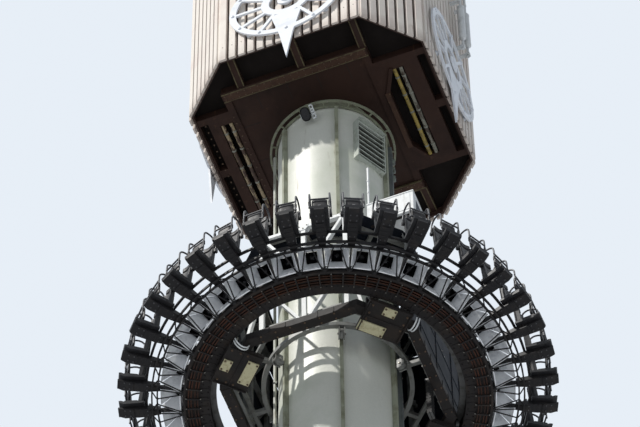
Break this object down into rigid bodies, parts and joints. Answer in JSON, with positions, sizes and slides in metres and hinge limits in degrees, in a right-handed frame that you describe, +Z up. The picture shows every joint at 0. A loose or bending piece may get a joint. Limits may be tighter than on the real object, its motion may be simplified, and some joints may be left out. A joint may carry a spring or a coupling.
{
  "type": "drop tower ride, scale model at 1:10",
  "caption": "Scale model of a drop tower ride: a round steel column with a clad machine house on top and a rotating ring of outward seats on a lifting carriage.",
  "frame": {"origin": "centre of the underside of the base flange, where the tower stands on its foundation", "axes": "+Z up along the column, -Y towards the front face of the machine house, +X to its right"},
  "size_m": [1.1442, 1.1442, 12.06],
  "materials": {
    "column_paint": "satin",
    "head_green": "satin",
    "duct_grey": "matte",
    "lamp_black": "satin",
    "soffit_brown": "satin",
    "tube_yellow": "satin",
    "inner_grey": "matte",
    "cladding": "matte",
    "ornament_white": "satin",
    "mast_white": "satin",
    "frame_black": "satin",
    "plate_beige": "satin",
    "truss_white": "satin",
    "roller_steel": "brushed",
    "chain_black": "matte",
    "copper": "worn",
    "strut_black": "satin",
    "seat_shell": "matte",
    "harness_pad": "matte",
    "harness_steel": "satin"
  },
  "bodies": {
    "tower": {"base_flange": "column_paint", "base_gussets": "column_paint", "column_section_1": "column_paint", "column_section_2": "column_paint", "column_section_3": "column_paint", "column_section_4": "column_paint", "column_section_5": "column_paint", "guide_rails": "column_paint", "service_pipe": "column_paint", "cable_duct": "duct_grey", "head_flange": "head_green", "louvre_hatch": "column_paint", "floodlight": "lamp_black", "soffit_frame": "soffit_brown", "soffit_plate": "soffit_brown", "tube_runs": "tube_yellow", "machine_floor": "inner_grey", "front_cladding": "cladding", "right_cladding": "cladding", "back_cladding": "cladding", "left_cladding": "cladding", "corner_cladding": "cladding", "roof_deck": "inner_grey", "front_ornament": "ornament_white", "right_ornament": "ornament_white", "back_ornament": "ornament_white", "left_ornament": "ornament_white", "antenna_masts": "mast_white"},
    "carriage": {"carriage_frame": "frame_black", "corner_brackets": "frame_black", "corner_plates": "plate_beige", "truss_front": "truss_white", "truss_right": "truss_white", "truss_back": "truss_white", "truss_left": "truss_white", "guide_rollers": "roller_steel", "ring_rollers": "roller_steel", "cable_chain": "chain_black", "drive_housing": "truss_white"},
    "seat_ring": {"ring_beam": "frame_black", "conductor_rails": "copper", "inner_rail": "roller_steel", "outer_hoop": "strut_black", "hoop_struts": "strut_black", "crown_boxes": "truss_white", "crown_posts": "truss_white", "crown_hoop": "truss_white", "seat_arms": "strut_black", "seat_pans": "seat_shell", "seat_backs": "seat_shell", "head_rests": "seat_shell", "harness_bars": "harness_steel", "chest_pads": "harness_pad"}
  },
  "joints": [
    {"name": "carriage_lift", "type": "slide", "parent": "tower", "child": "carriage", "axis": [0, 0, 1], "range_m": [-9.35, 0.5]},
    {"name": "ring_spin", "type": "hinge", "parent": "carriage", "child": "seat_ring", "pos_m": [0, 0, 9.62], "axis": [0, 0, 1], "continuous": true}
  ]
}
